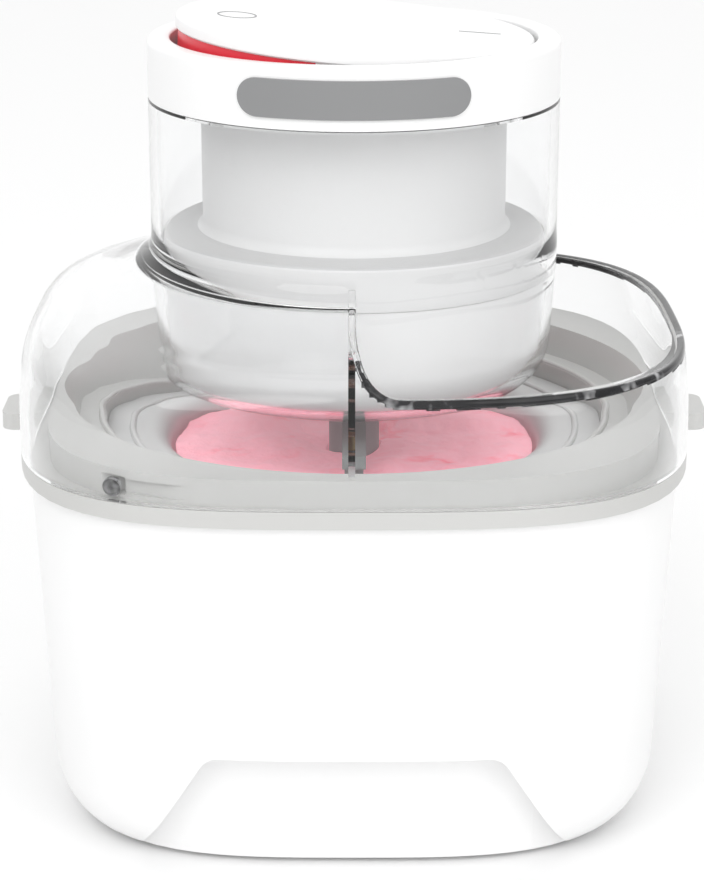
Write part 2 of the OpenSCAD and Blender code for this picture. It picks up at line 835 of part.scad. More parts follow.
module motor_end_cap() {
    color([0.25, 0.25, 0.27])
        difference() {
            ring(motor_r - 1 - fixed_gap, axle_r + run_gap, motor_low, motor_low + 3);
            for (x = [-1, 1])
                translate([x * motor_screw_at, 0, 0])
                    rod(motor_screw_r + fixed_gap, motor_low - 1, motor_low + 4);
        }
}

module motor_screws() {
    color([0.7, 0.7, 0.72])
        for (x = [-1, 1])
            translate([x * motor_screw_at, 0, 0]) {
                rod(motor_screw_head, plate_z, plate_z + 0.9);
                rod(motor_screw_r, plate_z + 0.5, motor_low + 2.6);
            }
}

module circuit_board() {
    color([0.2, 0.45, 0.3]) {
        drum(neck_in - fixed_gap, board_z, board_z + board_thick);
        box([-22, -8, board_z + board_thick - EPS], [-8, 8, board_z + 9]);
        box([-6, 14, board_z + board_thick - EPS], [8, 22, board_z + 6]);
        translate([2, -20, 0])
            rod(5, board_z + board_thick - EPS, board_z + 8);
    }
}

module power_switch() {
    color([0.2, 0.2, 0.22])
        difference() {
            box([plunger_x - 7, -5, switch_low], [plunger_x + 7, 5, cradle_floor - cradle_skin]);
            translate([plunger_x, 0, 0])
                rod(plunger_r + run_gap, switch_low + 3, cradle_floor);
        }
}

module rocker_cradle() {
    low = trench_z;
    under = cradle_floor - cradle_skin;
    color([0.9, 0.9, 0.9])
        difference() {
            union() {
                revolve([[0, under], [cradle_r - cradle_skin, under], [cradle_r - cradle_skin, low - 1.2],
                         [well_r + 1.5, low - 1.2], [well_r + 1.5, low], [cradle_r, low],
                         [cradle_r, cradle_floor], [0, cradle_floor]]);
                for (y = [-1, 1])
                    scale([1, y, 1])
                        box([-post_half, post_y, cradle_floor - EPS],
                            [post_half, post_y + post_thick, post_top]);
            }
            translate([plunger_x, 0, 0])
                rod(plunger_r + lift_gap, cradle_floor - 5, cradle_floor + 1);
            translate([0, 0, rocker_pivot])
                rotate([90, 0, 0])
                    rod(trunnion_r + run_gap, -post_y - post_thick - 1, post_y + post_thick + 1);
            for (y = [-1, 1])
                scale([1, y, 1])
                    box([-lug_r - 0.5, lug_y - 0.5, cradle_floor - 5],
                        [lug_r + 0.5, post_y, cradle_floor + 1]);
            box([-gland_out - 1, cradle_r - 6, low - 3], [gland_out + 1, ring_r, under]);
        }
}

module cord_gland() {
    color([0.85, 0.85, 0.85])
        translate([0, 0, gland_z])
            rotate([-90, 0, 0])
                difference() {
                    union() {
                        rod(gland_out, well_r + 0.4, ring_r + 0.5);
                        rod(gland_out + 1.2, ring_r + 0.05, ring_r + 1.6);
                    }
                    rod(gland_r, well_r - 3, ring_r + 3);
                }
}

module housing_screws() {
    color([0.7, 0.7, 0.72])
        for (a = boss_angles)
            rotate([0, 0, a])
                translate([boss_at, 0, 0]) {
                    rod(screw_head, house_foot + 6.6, house_foot + 9);
                    rod(screw_r, house_foot + 8, shoulder_top - 3.5);
                }
}

module plate_screws() {
    color([0.7, 0.7, 0.72])
        for (a = post_angles)
            rotate([0, 0, a])
                translate([post_at, 0, 0]) {
                    rod(screw_head, plate_z + plate_thick, plate_z + plate_thick + 2);
                    rod(screw_r, plate_z - 9, plate_z + plate_thick + 1);
                }
}

// ---- motor unit, moving pieces ----

module rotor() {
    color([0.65, 0.45, 0.3]) {
        gear(fast_module, pinion_teeth, layer_3, layer_3 + wheel_3, turn_m + 180 + 180 / pinion_teeth);
        rod(axle_r, layer_3 - 0.1, motor_low + motor_high + 1.5);
        drum(rotor_r, motor_low + 6, motor_low + 22);
        rod(4, motor_low + 21, motor_low + 26);
    }
}

module first_wheel() {
    color([0.93, 0.9, 0.82])
        translate([axle_a[0], axle_a[1], 0])
            difference() {
                union() {
                    gear(fast_module, first_teeth, layer_3, layer_3 + wheel_3, turn_m);
                    gear(fast_module, pinion_teeth, layer_2 - 0.5, layer_3 + EPS,
                        turn_b + 180 + 180 / pinion_teeth);
                }
                rod(axle_r + run_gap, layer_1, plate_z);
            }
}

module second_wheel() {
    color([0.93, 0.9, 0.82])
        translate([axle_b[0], axle_b[1], 0])
            difference() {
                union() {
                    gear(fast_module, second_teeth, layer_2, layer_2 + wheel_2, turn_b);
                    gear(slow_module, pinion_teeth, layer_1 - 0.2, layer_2 + EPS, 180 + 180 / pinion_teeth);
                }
                rod(axle_r + run_gap, layer_1 - 1, plate_z);
            }
}

module output_wheel() {
    color([0.8, 0.8, 0.82]) {
        gear(slow_module, output_teeth, layer_1, layer_1 + wheel_1, 0);
        rod(shaft_r, drive_low + 11, layer_1 + wheel_1 + 2);
        hexagon(drive_flat, drive_low, drive_low + 12);
    }
}

module switch_plunger() {
    under = rocker_top - rocker_thick - plunger_x * tan(rocker_tilt);
    color([0.85, 0.2, 0.2])
        translate([plunger_x, 0, 0])
            rod(plunger_r, switch_low + 4, under - lift_gap - 0.2);
}

module rocker_cap() {
    under = rocker_top - rocker_thick;
    color([0.95, 0.95, 0.95])
        tilted() {
            revolve(concat([[0, under], [rocker_r - 0.4, under], [rocker_r, under + 0.4]],
                arc(rocker_r - 0.8, rocker_top - 0.8, 0.8, 0, 90), [[0, rocker_top]]));
            difference() {
                ring(mark_r, mark_in, under - mark_drop, under + EPS);
                box([-BIG, -BIG, 0], [-mark_end, BIG, BIG]);
            }
            for (y = [-1, 1])
                scale([1, y, 1]) {
                    box([-lug_r, lug_y, rocker_pivot], [lug_r, lug_y + lug_thick, under + EPS]);
                    translate([0, 0, rocker_pivot])
                        rotate([-90, 0, 0]) {
                            rod(lug_r, lug_y, lug_y + lug_thick);
                            rod(trunnion_r, lug_y + 1, post_y + post_thick - 0.3);
                        }
                }
        }
}

module rocker_mark() {
    under = rocker_top - rocker_thick;
    color([0.85, 0.1, 0.15])
        tilted()
            difference() {
                ring(mark_r, mark_in, under - mark_drop, under);
                box([-mark_end, -BIG, 0], [BIG, BIG, BIG]);
            }
}

module rocker_symbols() {
    color([0.6, 0.6, 0.6])
        tilted() {
            translate([-symbol_at, 0, 0])
                difference() {
                    rod(4.9, rocker_top, rocker_top + 0.12);
                    rod(4.5, rocker_top - 1, rocker_top + 1);
                }
            box([line_near, -0.25, rocker_top], [line_far, 0.25, rocker_top + 0.12]);
        }
}

base_tub();
rubber_feet();
bowl_collar();
bowl_shell();
bowl_liner();
cooling_gel();
bowl_seal();
paddle();
lid();
cap_ring();
name_badge();
upper_housing();
lower_housing();
gear_plate();
gear_axles();
shaft_bush();
motor_can();
motor_magnets();
motor_end_cap();
motor_screws();
circuit_board();
power_switch();
rocker_cradle();
cord_gland();
housing_screws();
plate_screws();
rotor();
first_wheel();
second_wheel();
output_wheel();
switch_plunger();
rocker_cap();
rocker_mark();
rocker_symbols();
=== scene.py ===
import bpy, bmesh, math
from mathutils import Matrix, Vector, noise
from mathutils.kdtree import KDTree


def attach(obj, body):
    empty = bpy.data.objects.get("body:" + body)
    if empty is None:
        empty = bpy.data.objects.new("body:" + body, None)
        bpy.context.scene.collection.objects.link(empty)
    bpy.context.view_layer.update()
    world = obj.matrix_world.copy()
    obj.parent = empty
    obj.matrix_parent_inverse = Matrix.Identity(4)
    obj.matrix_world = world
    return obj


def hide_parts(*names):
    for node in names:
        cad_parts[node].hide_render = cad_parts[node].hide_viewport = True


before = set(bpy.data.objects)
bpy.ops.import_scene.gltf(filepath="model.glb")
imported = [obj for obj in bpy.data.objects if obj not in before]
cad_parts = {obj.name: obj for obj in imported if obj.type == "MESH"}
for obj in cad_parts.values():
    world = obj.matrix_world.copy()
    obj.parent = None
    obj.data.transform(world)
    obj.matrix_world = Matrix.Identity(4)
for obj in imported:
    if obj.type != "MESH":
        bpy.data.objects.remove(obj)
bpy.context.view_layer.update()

MM = 0.001
LEVEL_ENOUGH = 0.6
scene = bpy.context.scene


# ---- materials ----

def new_material(name):
    m = bpy.data.materials.new(name)
    m.use_nodes = True
    nt = m.node_tree
    for n in list(nt.nodes):
        nt.nodes.remove(n)
    out = nt.nodes.new("ShaderNodeOutputMaterial")
    bsdf = nt.nodes.new("ShaderNodeBsdfPrincipled")
    nt.links.new(bsdf.outputs["BSDF"], out.inputs["Surface"])
    return m, nt, bsdf


def object_coords(nt, scale=(1, 1, 1)):
    tc = nt.nodes.new("ShaderNodeTexCoord")
    mp = nt.nodes.new("ShaderNodeMapping")
    mp.inputs["Scale"].default_value = scale
    nt.links.new(tc.outputs["Object"], mp.inputs["Vector"])
    return mp.outputs["Vector"]


def noise_node(nt, vector, scale, detail=3.0, rough=0.5):
    n = nt.nodes.new("ShaderNodeTexNoise")
    n.inputs["Scale"].default_value = scale
    n.inputs["Detail"].default_value = detail
    n.inputs["Roughness"].default_value = rough
    nt.links.new(vector, n.inputs["Vector"])
    return n.outputs["Fac"]


def ramp(nt, fac, stops):
    r = nt.nodes.new("ShaderNodeValToRGB")
    e = r.color_ramp.elements
    e[0].position, e[0].color = stops[0]
    e[1].position, e[1].color = stops[-1]
    for p, c in stops[1:-1]:
        k = e.new(p)
        k.color = c
    nt.links.new(fac, r.inputs["Fac"])
    return r.outputs["Color"]


def map_range(nt, fac, low, high):
    r = nt.nodes.new("ShaderNodeMapRange")
    r.inputs["To Min"].default_value = low
    r.inputs["To Max"].default_value = high
    nt.links.new(fac, r.inputs["Value"])
    return r.outputs["Result"]


def bump(nt, bsdf, height, distance, strength):
    b = nt.nodes.new("ShaderNodeBump")
    b.inputs["Distance"].default_value = distance
    b.inputs["Strength"].default_value = strength
    nt.links.new(height, b.inputs["Height"])
    nt.links.new(b.outputs["Normal"], bsdf.inputs["Normal"])


def plastic(name, colour, rough, spread=0.02, grain=0.0, coat=0.0, sss=0.0):
    """Moulded plastic: slow colour drift, uneven polish and a fine moulded grain."""
    m, nt, b = new_material(name)
    v = object_coords(nt)
    slow = noise_node(nt, v, 14, 2)
    low = tuple(max(c - spread, 0) for c in colour) + (1,)
    high = tuple(min(c + spread, 1) for c in colour) + (1,)
    nt.links.new(ramp(nt, slow, [(0.3, low), (0.7, high)]), b.inputs["Base Color"])
    fine = noise_node(nt, v, 260, 4, 0.6)
    nt.links.new(map_range(nt, fine, max(rough - 0.04, 0), rough + 0.05), b.inputs["Roughness"])
    bump(nt, b, noise_node(nt, v, 2200, 2), 0.00002, grain if grain else 0.05)
    b.inputs["IOR"].default_value = 1.5
    if coat:
        b.inputs["Coat Weight"].default_value = coat
        b.inputs["Coat Roughness"].default_value = 0.08
    if sss:
        b.inputs["Subsurface Weight"].default_value = sss
        b.inputs["Subsurface Radius"].default_value = (1, 1, 1)
        b.inputs["Subsurface Scale"].default_value = 0.002
    return m


def paint_top_shade(material, z_from, z_to, colour):
    """Paints shade on the level faces between two heights: a darker colour on the tops only, for the shadow
    under the ring above.
    """
    nt = material.node_tree
    b = [n for n in nt.nodes if n.type == "BSDF_PRINCIPLED"][0]
    source = b.inputs["Base Color"].links[0].from_socket
    geo = nt.nodes.new("ShaderNodeNewGeometry")
    tc = nt.nodes.new("ShaderNodeTexCoord")
    nz, pz = nt.nodes.new("ShaderNodeSeparateXYZ"), nt.nodes.new("ShaderNodeSeparateXYZ")
    nt.links.new(geo.outputs["True Normal"], nz.inputs["Vector"])
    nt.links.new(tc.outputs["Object"], pz.inputs["Vector"])
    tests = []
    for socket, kind, value in ((nz.outputs["Z"], "GREATER_THAN", LEVEL_ENOUGH),
                                (pz.outputs["Z"], "GREATER_THAN", z_from),
                                (pz.outputs["Z"], "LESS_THAN", z_to)):
        t = nt.nodes.new("ShaderNodeMath")
        t.operation = kind
        t.inputs[1].default_value = value
        nt.links.new(socket, t.inputs[0])
        tests.append(t.outputs["Value"])
    for k in (1, 2):
        m = nt.nodes.new("ShaderNodeMath")
        m.operation = "MULTIPLY"
        nt.links.new(tests[0], m.inputs[0])
        nt.links.new(tests[k], m.inputs[1])
        tests[0] = m.outputs["Value"]
    # painted shade: level faces inside the height band take the darker colour
    mix = nt.nodes.new("ShaderNodeMix")
    mix.data_type = "RGBA"
    nt.links.new(tests[0], mix.inputs["Factor"])
    nt.links.new(source, mix.inputs["A"])
    mix.inputs["B"].default_value = colour
    nt.links.new(mix.outputs["Result"], b.inputs["Base Color"])


def metal(name, colour, rough):
    m, nt, b = new_material(name)
    v = object_coords(nt, (1, 1, 12))
    f = noise_node(nt, v, 300, 3)
    nt.links.new(ramp(nt, f, [(0.3, tuple(c * 0.85 for c in colour) + (1,)), (0.7, colour + (1,))]),
                 b.inputs["Base Color"])
    nt.links.new(map_range(nt, f, rough - 0.06, rough + 0.08), b.inputs["Roughness"])
    b.inputs["Metallic"].default_value = 1
    return m


def clear_plastic(name):
    """Clear moulded plastic that bends light but lets lamps through to what it covers."""
    m, nt, b = new_material(name)
    v = object_coords(nt)
    b.inputs["Base Color"].default_value = (0.985, 0.988, 0.99, 1)
    b.inputs["Transmission Weight"].default_value = 1
    b.inputs["IOR"].default_value = 1.46
    nt.links.new(map_range(nt, noise_node(nt, v, 60, 3), 0.0, 0.02), b.inputs["Roughness"])
    clear = nt.nodes.new("ShaderNodeBsdfTransparent")
    clear.inputs["Color"].default_value = (0.985, 0.985, 0.985, 1)
    path = nt.nodes.new("ShaderNodeLightPath")
    mix = nt.nodes.new("ShaderNodeMixShader")
    nt.links.new(path.outputs["Is Shadow Ray"], mix.inputs["Fac"])
    nt.links.new(b.outputs["BSDF"], mix.inputs[1])
    nt.links.new(clear.outputs["BSDF"], mix.inputs[2])
    out = [n for n in nt.nodes if n.type == "OUTPUT_MATERIAL"][0]
    nt.links.new(mix.outputs["Shader"], out.inputs["Surface"])
    return m


def painted_dark_edge(name):
    """The thick rolled edge of the clear lid: clear plastic given a near-black colour as painted shade, with
    light grey specks as painted glints.
    """
    m, nt, b = new_material(name)
    v = object_coords(nt)
    shade = noise_node(nt, v, 90, 3, 0.6)
    # painted shade and painted glints: near-black colour on clear plastic, light grey specks where the noise
    # is high
    nt.links.new(ramp(nt, shade, [(0.35, (0.010, 0.010, 0.011, 1)), (0.58, (0.03, 0.03, 0.032, 1)),
                                  (0.68, (0.55, 0.55, 0.56, 1))]), b.inputs["Base Color"])
    b.inputs["Transmission Weight"].default_value = 0.25
    b.inputs["IOR"].default_value = 1.46
    b.inputs["Specular IOR Level"].default_value = 0.3
    nt.links.new(map_range(nt, noise_node(nt, v, 300, 2), 0.02, 0.1), b.inputs["Roughness"])
    return m


def ice_cream(name):
    """Pink ice cream with darker red fruit streaks, small ice grain, a soft, slightly wet skin and a faint
    painted glow.
    """
    m, nt, b = new_material(name)
    v = object_coords(nt)
    warp = nt.nodes.new("ShaderNodeVectorMath")
    warp.operation = "ADD"
    drift = nt.nodes.new("ShaderNodeTexNoise")
    drift.inputs["Scale"].default_value = 45
    nt.links.new(v, drift.inputs["Vector"])
    small = nt.nodes.new("ShaderNodeVectorMath")
    small.operation = "SCALE"
    small.inputs["Scale"].default_value = 0.03
    nt.links.new(drift.outputs["Color"], small.inputs[0])
    nt.links.new(v, warp.inputs[0])
    nt.links.new(small.outputs["Vector"], warp.inputs[1])
    streak = noise_node(nt, warp.outputs["Vector"], 70, 3, 0.55)
    nt.links.new(ramp(nt, streak, [(0.3, (0.97, 0.47, 0.55, 1)), (0.56, (0.96, 0.42, 0.50, 1)),
                                   (0.64, (0.93, 0.27, 0.35, 1)), (0.7, (0.85, 0.10, 0.17, 1))]),
                 b.inputs["Base Color"])
    # painted light: a faint pink glow of its own, standing in for light the clear lid holds back
    b.inputs["Emission Color"].default_value = (0.95, 0.40, 0.48, 1)
    b.inputs["Emission Strength"].default_value = 0.28
    b.inputs["Subsurface Weight"].default_value = 0.25
    b.inputs["Subsurface Radius"].default_value = (1, 0.35, 0.3)
    b.inputs["Subsurface Scale"].default_value = 0.003
    nt.links.new(map_range(nt, noise_node(nt, v, 400, 3), 0.35, 0.6), b.inputs["Roughness"])
    bump(nt, b, noise_node(nt, v, 620, 4, 0.6), 0.0005, 0.6)
    return m


WHITE = plastic("white_plastic", (0.90, 0.90, 0.90), 0.32, 0.008, 0.05, sss=0.05)
MATT_WHITE = plastic("white_satin", (0.88, 0.88, 0.88), 0.42, 0.008, 0.08)
# painted shade: the upper housing is the same white plastic as the lower housing, given a darker white for
# the shade it sits in
SHADED_NECK_WHITE = plastic("neck_white_painted_shade", (0.78, 0.78, 0.78), 0.42, 0.008, 0.08)
# painted shade: the level shoulder tops under the cap ring are darkened grey
paint_top_shade(SHADED_NECK_WHITE, 0.1425, 0.1437, (0.60, 0.60, 0.60, 1))
GREY = plastic("collar_grey", (0.56, 0.56, 0.548), 0.38, 0.012, 0.12)
LINER = plastic("liner_grey", (0.62, 0.625, 0.62), 0.36, 0.012, 0.1)
PADDLE = plastic("paddle_grey", (0.26, 0.275, 0.275), 0.42, 0.012, 0.15)
RED = plastic("rocker_red", (0.86, 0.045, 0.07), 0.3, 0.02, 0.05)
PRINT = plastic("print_grey", (0.33, 0.33, 0.34), 0.5, 0.01, 0.1)
BADGE = plastic("badge_grey", (0.245, 0.247, 0.25), 0.3, 0.012, 0.08, coat=0.2)
RUBBER = plastic("foot_rubber", (0.30, 0.30, 0.30), 0.75, 0.02, 0.4)
SEAL = plastic("seal_rubber", (0.06, 0.06, 0.06), 0.7, 0.01, 0.4)
BLACK = plastic("black_plastic", (0.04, 0.04, 0.045), 0.45, 0.006, 0.2)
NATURAL = plastic("gear_plastic", (0.78, 0.74, 0.62), 0.4, 0.02, 0.1)
BOARD = plastic("board_green", (0.03, 0.2, 0.08), 0.4, 0.02, 0.1)
GEL = plastic("frozen_gel", (0.5, 0.66, 0.8), 0.3, 0.03, 0.3)
STEEL = metal("steel", (0.6, 0.6, 0.62), 0.3)
BRASS = metal("brass", (0.62, 0.46, 0.2), 0.3)
COPPER = metal("winding", (0.6, 0.3, 0.13), 0.35)
MAGNET = metal("magnet", (0.12, 0.12, 0.13), 0.5)
CLEAR = clear_plastic("clear_plastic")
EDGE = painted_dark_edge("clear_edge_painted_dark")
ICE = ice_cream("ice_cream")

NODE_MATERIALS = {
    "base_tub": WHITE, "rubber_feet": RUBBER, "bowl_collar": GREY, "bowl_shell": GREY, "bowl_liner": LINER,
    "cooling_gel": GEL, "bowl_seal": SEAL, "paddle": PADDLE, "lid": CLEAR, "cap_ring": WHITE,
    "name_badge": BADGE, "upper_housing": SHADED_NECK_WHITE, "lower_housing": WHITE, "gear_plate": STEEL,
    "gear_axles": STEEL, "shaft_bush": BRASS, "motor_can": STEEL, "motor_magnets": MAGNET,
    "motor_end_cap": BLACK, "motor_screws": STEEL, "circuit_board": BOARD, "power_switch": BLACK,
    "rocker_cradle": MATT_WHITE, "cord_gland": RUBBER, "housing_screws": STEEL, "plate_screws": STEEL,
    "rotor": COPPER, "first_wheel": NATURAL, "second_wheel": NATURAL, "output_wheel": NATURAL,
    "switch_plunger": BLACK, "rocker_cap": WHITE, "rocker_mark": RED, "rocker_symbols": PRINT}

for node_name, material in NODE_MATERIALS.items():
    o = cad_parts[node_name]
    for s in o.material_slots:
        s.material = material
    if not o.material_slots:
        o.data.materials.append(material)

# ---- smooth shading of the CAD pieces, with sharp edges kept ----

def smooth_group(angle):
    g = bpy.data.node_groups.new("smooth_shading", "GeometryNodeTree")
    g.interface.new_socket("Geometry", in_out="INPUT", socket_type="NodeSocketGeometry")
    g.interface.new_socket("Geometry", in_out="OUTPUT", socket_type="NodeSocketGeometry")
    start, end = g.nodes.new("NodeGroupInput"), g.nodes.new("NodeGroupOutput")
    faces = g.nodes.new("GeometryNodeSetShadeSmooth")
    edges = g.nodes.new("GeometryNodeSetShadeSmooth")
    edges.domain = "EDGE"
    bend = g.nodes.new("GeometryNodeInputMeshEdgeAngle")
    small = g.nodes.new("FunctionNodeCompare")
    small.operation = "LESS_THAN"
    small.inputs["B"].default_value = math.radians(angle)
    weld = g.nodes.new("GeometryNodeMergeByDistance")
    weld.inputs["Distance"].default_value = 0.000001
    g.links.new(start.outputs[0], weld.inputs["Geometry"])
    g.links.new(weld.outputs["Geometry"], faces.inputs["Geometry"])
    g.links.new(faces.outputs["Geometry"], edges.inputs["Geometry"])
    g.links.new(bend.outputs["Unsigned Angle"], small.inputs["A"])
    g.links.new(small.outputs["Result"], edges.inputs["Shade Smooth"])
    g.links.new(edges.outputs["Geometry"], end.inputs[0])
    return g


SMOOTH = smooth_group(22)
for node_name in NODE_MATERIALS:
    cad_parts[node_name].modifiers.new("smooth", "NODES").node_group = SMOOTH


# ---- mesh helpers ----

SEGMENTS = 288


def squircle_ring(half, square, count=SEGMENTS, slim=1.0):
    """Points of a level squircle outline, in mm."""
    out = []
    for i in range(count):
        t = 2 * math.pi * i / count
        c, s = math.cos(t), math.sin(t)
        k = (abs(c) ** square + abs(s) ** square) ** (-1 / square)
        out.append((half * k * c, half * slim * k * s))
    return out


def loft_loop(rows, closed=True):
    """Bmesh through rows of [half-width, height, squareness]; a closed loop makes a tube-like solid."""
    bm = bmesh.new()
    rings = [[bm.verts.new((x * MM, y * MM, z * MM)) for x, y in squircle_ring(h, n)] for h, z, n in rows]
    pairs = list(zip(rings, rings[1:] + rings[:1])) if closed else list(zip(rings, rings[1:]))
    for a, b in pairs:
        for i in range(SEGMENTS):
            j = (i + 1) % SEGMENTS
            bm.faces.new((a[i], a[j], b[j], b[i]))
    return bm, rings


def spline(points, steps):
    """Centripetal-like Catmull-Rom through rows of any length, with a number of steps per span."""
    pts = [points[0]] + list(points) + [points[-1]]
    out = []
    for i in range(1, len(pts) - 2):
        p0, p1, p2, p3 = pts[i - 1:i + 3]
        for k in range(steps):
            t = k / steps
            out.append([0.5 * (2 * b + (c - a) * t + (2 * a - 5 * b + 4 * c - d) * t * t
                               + (3 * b - a - 3 * c + d) * t ** 3) for a, b, c, d in zip(p0, p1, p2, p3)])
    out.append(list(points[-1]))
    return out


def moved(rows, d):
    """Rows moved sideways by d along the profile's own normal."""
    out = []
    for i, r in enumerate(rows):
        a, b = rows[max(i - 1, 0)], rows[min(i + 1, len(rows) - 1)]
        dx, dz = b[0] - a[0], b[1] - a[1]
        w = math.hypot(dx, dz) or 1
        out.append([r[0] + d * dz / w, r[1] - d * dx / w, r[2]])
    return out


def arc(cx, cz, r, start, end, steps, n=2.0):
    """Rows along an arc of a profile, with angles in degrees."""
    return [[cx + r * math.cos(math.radians(start + (end - start) * i / steps)),
             cz + r * math.sin(math.radians(start + (end - start) * i / steps)), n] for i in range(steps + 1)]


def object_from(bm, name, material, smooth=40):
    bmesh.ops.recalc_face_normals(bm, faces=bm.faces)
    me = bpy.data.meshes.new(name)
    bm.to_mesh(me)
    bm.free()
    me.polygons.foreach_set("use_smooth", [True] * len(me.polygons))
    me.set_sharp_from_angle(angle=math.radians(smooth))
    o = bpy.data.objects.new(name, me)
    scene.collection.objects.link(o)
    if material:
        me.materials.append(material)
    return o


def combine(o, others, operation):
    """Applies solid booleans one by one and removes the tools."""
    for tool in others:
        m = o.modifiers.new("cut", "BOOLEAN")
        m.operation, m.object, m.solver = operation, tool, "MANIFOLD"
        bpy.context.view_layer.update()
        made = bpy.data.meshes.new_from_object(o.evaluated_get(bpy.context.evaluated_depsgraph_get()))
        o.modifiers.clear()
        old = o.data
        o.data = made
        bpy.data.meshes.remove(old)
        bpy.data.objects.remove(tool)
    return o


def prism(points, low, high, axis):
    """Solid between two copies of a flat outline. points are (u, v) in mm across the axis."""
    bm = bmesh.new()
    place = {"x": lambda u, v, w: (w, u, v), "y": lambda u, v, w: (u, w, v)}[axis]
    a = [bm.verts.new([c * MM for c in place(u, v, low)]) for u, v in points]
    b = [bm.verts.new([c * MM for c in place(u, v, high)]) for u, v in points]
    bm.faces.new(a)
    bm.faces.new(list(reversed(b)))
    for i in range(len(a)):
        j = (i + 1) % len(a)
        bm.faces.new((a[i], b[i], b[j], a[j]))
    return bm


def sweep(path, normals, across, along, count=20):
    """Closed tube with an oval section: across is its half-size along the normals, along the other one."""
    bm = bmesh.new()
    rings = []
    for i, p in enumerate(path):
        t = (path[min(i + 1, len(path) - 1)] - path[max(i - 1, 0)]).normalized()
        n = (normals[i] - t * normals[i].dot(t)).normalized()
        s = t.cross(n)
        ring_pts = []
        for k in range(count):
            a = 2 * math.pi * k / count
            c, sn = math.cos(a), math.sin(a)
            out = across * math.copysign(abs(c) ** 0.55, c)
            up = along * math.copysign(abs(sn) ** 0.55, sn)
            ring_pts.append(bm.verts.new((p + n * out + s * up) * MM))
        rings.append(ring_pts)
    for a, b in zip(rings, rings[1:]):
        for i in range(count):
            j = (i + 1) % count
            bm.faces.new((a[i], a[j], b[j], b[i]))
    bm.faces.new(list(reversed(rings[0])))
    bm.faces.new(rings[-1])
    return bm


# ---- lid ----

LID_LOW, LID_HALF, TOWER_R, WALL = 95.5, 83.0, 51.0, 2.3
TOWER_TOP, CUP_R, CUP_FOOT, CUP_ROUND, CUP_HOLE, CUP_KNEE = 175.8, 49.9, 102.4, 13.0, 9.0, 133.0
SPOUT_LOW, SPOUT_R, GUIDE_X, GUIDE_THICK, GUIDE_LOW, CEILING = 118.7, 11.0, 0.3, 1.6, 103.2, 134.0
SPOUT_FALL = math.radians(1.4)
DOME = [(83, 95.5, 3.37), (83, 104, 3.37), (82.6, 110, 3.33), (82.3, 114, 3.25), (82.1, 117, 3.13),
        (81.4, 119.6, 3.0), (79.9, 122.2, 2.87), (77.4, 124.5, 2.74), (73.6, 126.4, 2.62), (69.2, 128, 2.5),
        (64.6, 130, 2.38), (60.8, 132, 2.26), (57.8, 133.8, 2.14), (55, 135.6, 2.05), (53, 137.2, 2),
        (51.8, 138.6, 2), (51.1, 140, 2)]
dome = spline([list(row) for row in DOME], 7)
for _pass in range(6):
    dome = [dome[0]] + [[(a[k] + 2 * b[k] + c[k]) / 4 for k in range(3)]
                        for a, b, c in zip(dome, dome[1:], dome[2:])] + [dome[-1]]
for r in dome:
    r[0] = min(r[0], LID_HALF)
    r[2] = max(r[2], 2.0)


def dome_at(z, inset=0.0):
    """Half-width and squareness of the dome at a height."""
    rows = moved(dome, -inset) if inset else dome
    for a, b in zip(rows, rows[1:]):
        if a[1] <= z <= b[1]:
            t = (z - a[1]) / max(b[1] - a[1], 1e-6)
            return a[0] + (b[0] - a[0]) * t, a[2] + (b[2] - a[2]) * t
    return rows[-1][0], rows[-1][2]


def depth_at(x, z, inset):
    """How far the dome's wall lies from the X axis at a place and height."""
    h, n = dome_at(z, inset)
    return h * max(1 - (abs(x) / h) ** n, 0) ** (1 / n)


def rounded_corner(far):
    """Outline of the opening seen along one axis: a corner of radius SPOUT_R at (0, SPOUT_LOW)."""
    pts = [(SPOUT_R * (1 - math.cos(math.radians(a))), SPOUT_LOW + SPOUT_R * (1 - math.sin(math.radians(a))))
           for a in range(0, 91, 5)]
    return [(0, far)] + pts + [(far, SPOUT_LOW), (far, far)]


def cup_radius(z):
    """The cup's wall widens a little from its rounded foot to its knee."""
    foot = CUP_FOOT + CUP_ROUND
    return CUP_R + (TOWER_R - CUP_R) * (z - foot) / (CUP_KNEE - foot)


inner = moved(dome, -WALL)
inner = [r for r in inner if r[1] <= CEILING - 0.5]
root = inner[-1]
cup_out = arc(CUP_R - CUP_ROUND, CUP_FOOT + CUP_ROUND, CUP_ROUND, -90, 0, 16)
cup_in = arc(CUP_R - CUP_ROUND, CUP_FOOT + CUP_ROUND, CUP_ROUND - WALL, 0, -90, 16)
fillet = spline([root, [52.2, CEILING, 2.0], [51.2, CEILING - 0.5, 2.0],
                 [50.95, CEILING - 1.4, 2.0]], 6)[1:]
tower = [[TOWER_R, z, 2.0] for z in (143, 146, 152, 160, 168, TOWER_TOP - 0.5)]
profile = ([[LID_HALF, LID_LOW, 3.37]] + dome[1:] + tower
           + [[TOWER_R - 0.4, TOWER_TOP, 2], [TOWER_R - WALL + 0.4, TOWER_TOP, 2],
              [TOWER_R - WALL, TOWER_TOP - 0.5, 2]]
           + [[TOWER_R - WALL, z, 2] for z in (168, 160, 152, 144, 138)]
           + [[TOWER_R - WALL - 0.1, CUP_KNEE - 1, 2]]
           + [[cup_radius(z) - WALL, z, 2] for z in (128, 122, 117)]
           + cup_in + [[30, CUP_FOOT + WALL, 2], [20, CUP_FOOT + WALL, 2],
                       [CUP_HOLE + 0.5, CUP_FOOT + WALL, 2],
                       [CUP_HOLE, CUP_FOOT + WALL - 0.5, 2], [CUP_HOLE, CUP_FOOT + 0.5, 2],
                       [CUP_HOLE + 0.5, CUP_FOOT, 2], [20, CUP_FOOT, 2], [30, CUP_FOOT, 2]]
           + cup_out + [[cup_radius(z), z, 2] for z in (118, 122, 126, 129.5)]
           + list(reversed(fillet)) + list(reversed(inner)))
lid_bm, rings = loft_loop(profile)
lid = object_from(lid_bm, "clear_lid", CLEAR)

